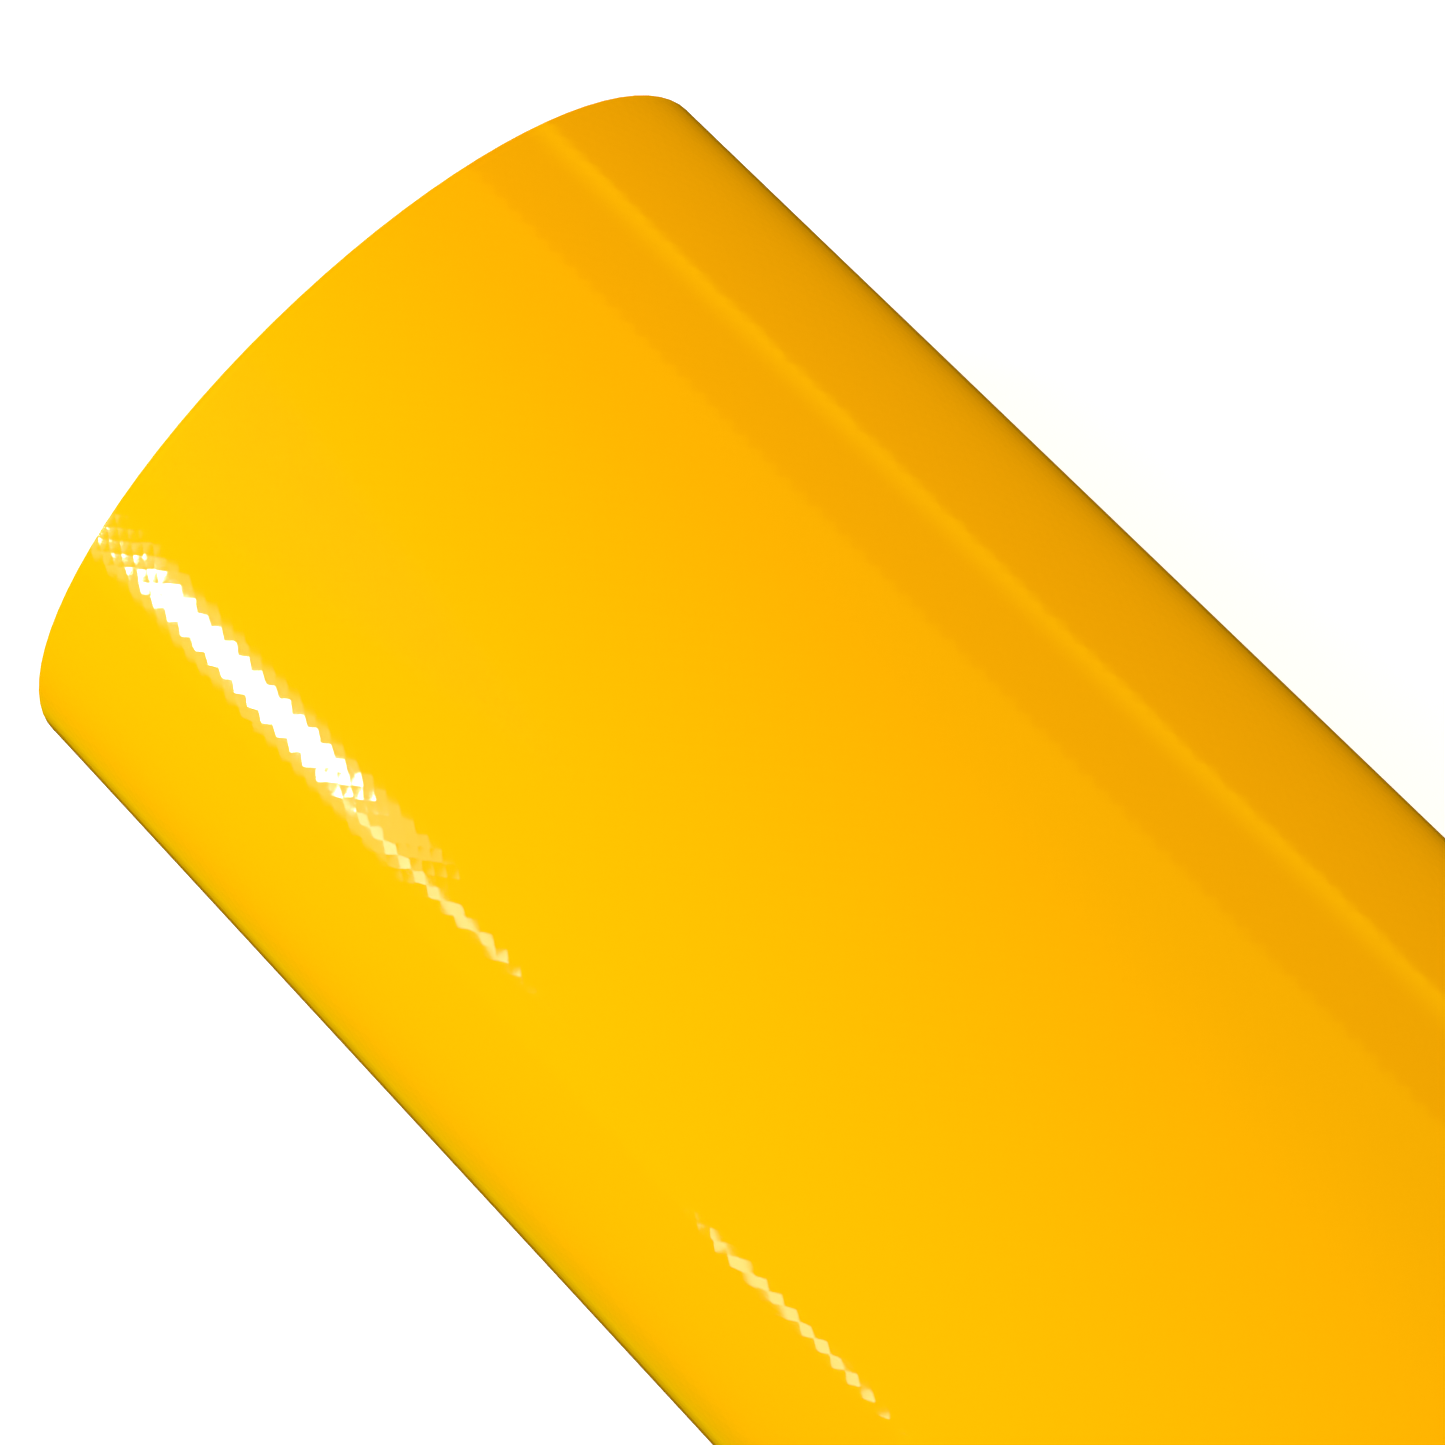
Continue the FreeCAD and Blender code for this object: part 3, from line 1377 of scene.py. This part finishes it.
@dataclass(frozen=True)
class Surround:
    """The room round the roll: what lights matt surfaces, and what glossy ones mirror.

    The film mirrors a bright ceiling that ends above a darker wall, a lit strip low on the
    wall, and a floor that is darkest under the roll.
    """

    lit: tuple[Stop, ...] = (
        Stop(-180, 0.5),
        Stop(-90, 0.9),
        Stop(-4, 1.4),
        Stop(4, 1.7, "#FFF8EE"),
        Stop(32, 1.0, "#FFF8EE"),
        Stop(62, 0.55, "#FFFCF8"),
        Stop(135, 0.36),
        Stop(178, 0.5),
    )
    mirrored: tuple[Stop, ...] = (
        Stop(-178, 0.8, "#E8FF00"),
        Stop(-150, 0.55, "#D0FF00"),
        Stop(-127, 0.35, "#A0FF00"),
        Stop(-115, 0.5, "#D8FF00"),
        Stop(-103, 0.1, "#DCC800"),
        Stop(-80, 0.0),
        Stop(-58, 0.2, "#FFC000"),
        Stop(-30, 0.3, "#FFB000"),
        Stop(5.6, 0.35, "#FFB000"),
        Stop(6.4, 2.1, "#FFF000"),
        Stop(9.5, 1.5, "#FFF000"),
        Stop(15.5, 0.45, "#FFE000"),
        Stop(34.4, 0.4, "#FFE000"),
        Stop(35.2, 1.4, "#FFF000"),
        Stop(150, 1.35, "#FFF000"),
        Stop(177, 1.1, "#E4FF00"),
    )

    def ramp(
        self, world: bpy.types.World, where: bpy.types.NodeSocket, stops: tuple[Stop, ...]
    ) -> bpy.types.NodeSocket:
        """Adds a colour ramp round the roll.

        Args:
            world: The world that the ramp is for.
            where: The direction, from 0 to 1.
            stops: The ramp's colours.

        Returns:
            The ramp's colour.
        """
        node = add(world, "ValToRGB", {"Fac": where})
        elements = node.color_ramp.elements
        while len(elements) < len(stops):
            elements.new(1.0)
        for element, stop in zip(elements, stops):
            element.position = (stop.angle + 180) / 360
            element.color = stop.light()
        return node.outputs["Color"]

    def build(self) -> bpy.types.World:
        """Builds the room's nodes.

        Returns:
            The world that holds them.
        """
        world = bpy.data.worlds.new("pale_room")
        world.use_nodes = True
        world.node_tree.nodes.clear()
        sight = add(world, "TexCoord").outputs["Generated"]
        parts = add(world, "SeparateXYZ", {0: sight}).outputs
        over = add(world, "Math", {0: parts["Z"], 1: parts["Y"]}, operation="ARCTAN2")
        where = add(
            world,
            "MapRange",
            {"Value": over.outputs[0], "From Min": -math.pi, "From Max": math.pi},
        ).outputs[0]
        kind = add(world, "LightPath").outputs
        lit = self.ramp(world, where, self.lit)
        mirrored = self.ramp(world, where, self.mirrored)
        room = mixed(world, kind["Is Glossy Ray"], lit, mirrored)
        seen = mixed(world, kind["Is Camera Ray"], room, linear("#FFFFFF"))
        light = add(world, "Background", {"Color": seen})
        add(world, "OutputWorld", {"Surface": light.outputs[0]})
        return world


@dataclass
class Studio:
    """The ground, the lamps, the room and the camera."""

    floor_size: float = 6.0  # along each side
    target: Vector = Vector((-0.24, 0, 0.03))  # what the lamps are aimed at
    eye: Vector = Vector((-0.22863, -0.03068, 0.24057))  # where the camera is
    gaze: Vector = Vector((-0.14738, 0.14214, -0.97881))  # the way it looks
    lens: float = 55.16  # in millimetres
    shift: float = 0.0415  # of the picture, right and down, as a share of its width
    nearest: float = 10 * MM  # how close to the camera it starts to see

    def floor(self) -> None:
        """Lays the ground at the roll's lowest point."""
        bpy.ops.object.select_all(action="DESELECT")
        bpy.ops.mesh.primitive_plane_add(size=self.floor_size)
        ground = bpy.context.object
        ground.name = "studio_floor"
        ground.location.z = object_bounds()[0].z
        ground.data.materials.append(GROUND.material())
        ground.visible_glossy = False
        ground.visible_diffuse = False
        ground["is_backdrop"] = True

    def lamps(self) -> None:
        """Hangs the lamps: a soft one that lights the roll, and four that the film mirrors."""
        for lamp in (
            Lamp("softbox", -46, 44, (0.3, 0.3), 6.9, mirrored=False, distance=0.52),
            Lamp("curtain", -15.8, 13.2, (0.42, 0.5), 1.2, lights=False, distance=2.05),
            Lamp("window", -16.9, 13.4, (0.27, 0.28), 50.0),
            Lamp("window_side", -9.0, 11.0, (0.24, 0.08), 5.0, tilt=25),
            Lamp("tube", 6.3, 2.0, (0.22, 0.085), 5.5, "#FFF0E0", tilt=22),
        ):
            lamp.build(self.target)

    def camera(self) -> None:
        """Sets the camera up."""
        data = bpy.data.cameras.new("camera")
        data.lens = self.lens
        data.shift_x = self.shift
        data.shift_y = -self.shift
        data.clip_start = self.nearest
        camera = bpy.data.objects.new("camera", data)
        bpy.context.scene.collection.objects.link(camera)
        camera.location = self.eye
        camera.rotation_euler = self.gaze.to_track_quat("-Z", "Y").to_euler()
        bpy.context.scene.camera = camera

    def build(self) -> None:
        """Sets everything up."""
        self.floor()
        self.lamps()
        self.camera()
        scene = bpy.context.scene
        scene.world = Surround().build()
        scene.view_settings.view_transform = "Standard"


def main() -> None:
    """Builds the roll and its studio, and logs each piece's faces and size."""
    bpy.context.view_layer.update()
    winding = Winding()
    end = LooseEnd(winding)
    for assembly in (
        PaperCore(),
        StartTape(),
        WoundWeb(winding),
        end,
        HoldDownTabs(winding, end),
    ):
        for piece in assembly.build():
            low, high = (np.array(piece.bound_box[corner]) for corner in (0, 6))  # opposite ones
            size = " x ".join(f"{side / MM:.1f}" for side in high - low)
            log.info("%s: %d faces, %s mm", piece.name, len(piece.data.polygons), size)
    Studio().build()


if __name__ == "__main__":
    main()
